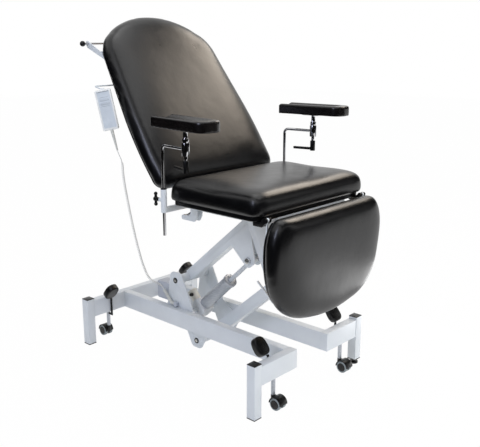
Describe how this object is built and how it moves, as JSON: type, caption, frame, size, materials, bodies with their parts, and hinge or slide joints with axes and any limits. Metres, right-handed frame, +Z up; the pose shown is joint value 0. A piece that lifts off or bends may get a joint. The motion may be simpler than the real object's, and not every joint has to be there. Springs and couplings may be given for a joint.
{
  "type": "phlebotomy chair",
  "caption": "Blood-sampling chair on a lifting base, with reclining back, folding leg rest, swinging armrests, paper roll rod, wired handset and pedal castors.",
  "frame": {"origin": "on the floor, at the middle of the chair's bounding box", "axes": "+Z up, -Y towards the front, +X towards the sitter's left"},
  "size_m": [0.9086, 1.2115, 1.4915],
  "materials": {
    "frame_paint": "powder coat",
    "zinc_bolts": "zinc plated",
    "black_plastic": "satin",
    "castor_steel": "satin",
    "castor_tread": "matte",
    "control_housing": "powder coat",
    "plug_grey": "satin",
    "actuator_shell": "satin",
    "motor_shell": "satin",
    "chrome": "polished",
    "gas_spring_black": "gloss paint",
    "plywood": "stained",
    "black_vinyl": "soft sheen",
    "handset_plastic": "satin",
    "handset_keys": "satin",
    "cord_sheath": "satin"
  },
  "bodies": {
    "base": {"base_rails": "frame_paint", "cross_members": "frame_paint", "leg_posts": "frame_paint", "leg_end_caps": "black_plastic", "lift_pivot_plates": "frame_paint", "pivot_bolts": "zinc_bolts", "control_box": "control_housing", "control_plug": "plug_grey", "cord_lower": "cord_sheath"},
    "upper_arm": {"upper_lift_arm": "frame_paint"},
    "lower_arm": {"lower_lift_arm": "frame_paint"},
    "actuator": {"actuator_gearbox": "actuator_shell", "actuator_motor": "motor_shell", "actuator_tube": "actuator_shell"},
    "actuator_piston": {"actuator_rod": "chrome"},
    "seat": {"seat_frame": "frame_paint", "lift_hanger_plates": "frame_paint", "seat_board": "plywood", "seat_cushion": "black_vinyl", "armrest_sockets": "frame_paint", "leg_rest_hinge_blocks": "black_plastic"},
    "back": {"back_frame": "frame_paint", "back_board": "plywood", "back_cushion": "black_vinyl", "handset_case": "handset_plastic", "strain_relief": "plug_grey", "cord_upper": "cord_sheath"},
    "roll": {"paper_roll_rod": "chrome"},
    "gas_cylinder": {"gas_spring_cylinder": "gas_spring_black"},
    "gas_piston": {"gas_spring_rod": "chrome"},
    "leg_rest": {"leg_rest_frame": "frame_paint", "leg_rest_board": "plywood", "leg_rest_cushion": "black_vinyl"},
    "key_up_button": {"key_up": "handset_keys"},
    "key_down_button": {"key_down": "handset_keys"},
    "levelling_screw": {"levelling_foot": "black_plastic"},
    "bush_left": {"armrest_bush_left": "black_plastic"},
    "armrest_left": {"armrest_pole_left": "chrome"},
    "lever_left": {"clamp_lever_left": "black_plastic"},
    "pad_left": {"pad_post_left": "chrome", "armrest_pad_left": "black_vinyl"},
    "knob_left": {"socket_knob_left": "black_plastic"},
    "bush_right": {"armrest_bush_right": "black_plastic"},
    "armrest_right": {"armrest_pole_right": "chrome"},
    "lever_right": {"clamp_lever_right": "black_plastic"},
    "pad_right": {"pad_post_right": "chrome", "armrest_pad_right": "black_vinyl"},
    "knob_right": {"socket_knob_right": "black_plastic"},
    "pedal_1": {"castor_pedal_1": "castor_steel"},
    "fork_1": {"castor_fork_1": "black_plastic"},
    "wheels_1": {"castor_wheels_1": "castor_tread"},
    "pedal_2": {"castor_pedal_2": "castor_steel"},
    "fork_2": {"castor_fork_2": "black_plastic"},
    "wheels_2": {"castor_wheels_2": "castor_tread"},
    "pedal_3": {"castor_pedal_3": "castor_steel"},
    "fork_3": {"castor_fork_3": "black_plastic"},
    "wheels_3": {"castor_wheels_3": "castor_tread"},
    "pedal_4": {"castor_pedal_4": "castor_steel"},
    "fork_4": {"castor_fork_4": "black_plastic"},
    "wheels_4": {"castor_wheels_4": "castor_tread"}
  },
  "joints": [
    {"name": "lift", "type": "hinge", "parent": "base", "child": "upper_arm", "pos_m": [0, 0.2029, 0.3324], "axis": [1, 0, 0], "range_deg": [0, 35], "deforming": ["cord_lower"]},
    {"name": "lower_arm_turn", "type": "hinge", "parent": "base", "child": "lower_arm", "pos_m": [0, 0.0701, 0.079], "axis": [1, 0, 0], "range_deg": [0, 35]},
    {"name": "seat_level", "type": "hinge", "parent": "upper_arm", "child": "seat", "pos_m": [0, -0.21045, 0.68607], "axis": [1, 0, 0], "range_deg": [-35, 0]},
    {"name": "actuator_tilt", "type": "hinge", "parent": "base", "child": "actuator", "pos_m": [0, 0.1433, 0.188], "axis": [1, 0, 0], "range_deg": [0, 34]},
    {"name": "actuator_stroke", "type": "slide", "parent": "actuator", "child": "actuator_piston", "axis": [0, -0.7288, 0.6847], "range_m": [-0.094, 0]},
    {"name": "back_recline", "type": "hinge", "parent": "seat", "child": "back", "pos_m": [0, 0.0433, 0.745], "axis": [1, 0, 0], "range_deg": [-55, 10], "deforming": ["cord_upper"]},
    {"name": "gas_spring_swing", "type": "hinge", "parent": "seat", "child": "gas_cylinder", "pos_m": [-0.08, -0.0147, 0.745], "axis": [1, 0, 0], "range_deg": [-44.1, 8.1]},
    {"name": "gas_spring_stroke", "type": "slide", "parent": "gas_cylinder", "child": "gas_piston", "axis": [0, 0.8305, -0.5571], "range_m": [-0.0434, 0.008]},
    {"name": "leg_rest_raise", "type": "hinge", "parent": "seat", "child": "leg_rest", "pos_m": [0, -0.5097, 0.771], "axis": [1, 0, 0], "range_deg": [-88, 0]},
    {"name": "paper_roll_turn", "type": "hinge", "parent": "back", "child": "roll", "pos_m": [0, 0.5363, 1.37202], "axis": [1, 0, 0], "continuous": true},
    {"name": "key_up_press", "type": "slide", "parent": "back", "child": "key_up_button", "axis": [0.682, 0.7314, 0], "range_m": [0, 0.0012], "stiffness_N_per_m": 600, "springref_m": -0.0006},
    {"name": "key_down_press", "type": "slide", "parent": "back", "child": "key_down_button", "axis": [0.682, 0.7314, 0], "range_m": [0, 0.0012], "stiffness_N_per_m": 600, "springref_m": -0.0006},
    {"name": "levelling_screw_turn", "type": "slide", "parent": "base", "child": "levelling_screw", "axis": [0, 0, 1], "range_m": [-0.01, 0.011]},
    {"name": "armrest_swing_left", "type": "hinge", "parent": "seat", "child": "bush_left", "pos_m": [0.368, -0.0397, 0.827], "axis": [0, 0, 1], "range_deg": [0, 90]},
    {"name": "armrest_height_left", "type": "slide", "parent": "bush_left", "child": "armrest_left", "axis": [0, 0, 1], "range_m": [-0.1, 0.1]},
    {"name": "pad_swivel_left", "type": "hinge", "parent": "armrest_left", "child": "pad_left", "pos_m": [0.385, -0.1867, 1.022], "axis": [0, 0, 1], "range_deg": [-90, 90]},
    {"name": "clamp_lever_turn_left", "type": "hinge", "parent": "armrest_left", "child": "lever_left", "pos_m": [0.385, -0.1867, 0.911], "axis": [0, 0, 1], "range_deg": [-100, 0]},
    {"name": "socket_knob_turn_left", "type": "hinge", "parent": "seat", "child": "knob_left", "pos_m": [0.368, -0.0017, 0.783], "axis": [0, 1, 0], "continuous": true},
    {"name": "armrest_swing_right", "type": "hinge", "parent": "seat", "child": "bush_right", "pos_m": [-0.368, -0.0397, 0.827], "axis": [0, 0, -1], "range_deg": [0, 90]},
    {"name": "armrest_height_right", "type": "slide", "parent": "bush_right", "child": "armrest_right", "axis": [0, 0, 1], "range_m": [-0.1, 0.1]},
    {"name": "pad_swivel_right", "type": "hinge", "parent": "armrest_right", "child": "pad_right", "pos_m": [-0.385, -0.1867, 1.022], "axis": [0, 0, -1], "range_deg": [-90, 90]},
    {"name": "clamp_lever_turn_right", "type": "hinge", "parent": "armrest_right", "child": "lever_right", "pos_m": [-0.385, -0.1867, 0.911], "axis": [0, 0, -1], "range_deg": [-100, 0]},
    {"name": "socket_knob_turn_right", "type": "hinge", "parent": "seat", "child": "knob_right", "pos_m": [-0.368, -0.0017, 0.783], "axis": [0, 1, 0], "continuous": true},
    {"name": "castor_pedal_press_1", "type": "slide", "parent": "base", "child": "pedal_1", "axis": [0, 0, 1], "range_m": [-0.012, 0]},
    {"name": "castor_swivel_1", "type": "hinge", "parent": "pedal_1", "child": "fork_1", "pos_m": [-0.222, -0.4812, 0.058], "axis": [0, 0, 1], "continuous": true},
    {"name": "castor_spin_1", "type": "hinge", "parent": "fork_1", "child": "wheels_1", "pos_m": [-0.222, -0.5062, 0.029], "axis": [1, 0, 0], "continuous": true},
    {"name": "castor_pedal_press_2", "type": "slide", "parent": "base", "child": "pedal_2", "axis": [0, 0, 1], "range_m": [-0.012, 0]},
    {"name": "castor_swivel_2", "type": "hinge", "parent": "pedal_2", "child": "fork_2", "pos_m": [0.222, -0.4812, 0.058], "axis": [0, 0, 1], "continuous": true},
    {"name": "castor_spin_2", "type": "hinge", "parent": "fork_2", "child": "wheels_2", "pos_m": [0.222, -0.5062, 0.029], "axis": [1, 0, 0], "continuous": true},
    {"name": "castor_pedal_press_3", "type": "slide", "parent": "base", "child": "pedal_3", "axis": [0, 0, 1], "range_m": [-0.012, 0]},
    {"name": "castor_swivel_3", "type": "hinge", "parent": "pedal_3", "child": "fork_3", "pos_m": [-0.222, 0.5518, 0.058], "axis": [0, 0, 1], "continuous": true},
    {"name": "castor_spin_3", "type": "hinge", "parent": "fork_3", "child": "wheels_3", "pos_m": [-0.222, 0.5768, 0.029], "axis": [1, 0, 0], "continuous": true},
    {"name": "castor_pedal_press_4", "type": "slide", "parent": "base", "child": "pedal_4", "axis": [0, 0, 1], "range_m": [-0.012, 0]},
    {"name": "castor_swivel_4", "type": "hinge", "parent": "pedal_4", "child": "fork_4", "pos_m": [0.222, 0.5518, 0.058], "axis": [0, 0, 1], "continuous": true},
    {"name": "castor_spin_4", "type": "hinge", "parent": "fork_4", "child": "wheels_4", "pos_m": [0.222, 0.5768, 0.029], "axis": [1, 0, 0], "continuous": true}
  ],
  "couplings": [
    {"joint": "lower_arm_turn", "follows": "lift", "ratio": 1},
    {"joint": "seat_level", "follows": "lift", "ratio": -1},
    {"joint": "actuator_tilt", "follows": "lift", "ratio": 0.954},
    {"joint": "actuator_stroke", "follows": "lift", "m_per_rad": -0.152},
    {"joint": "gas_spring_swing", "follows": "back_recline", "ratio": 0.8},
    {"joint": "gas_spring_stroke", "follows": "back_recline", "m_per_rad": 0.045}
  ]
}
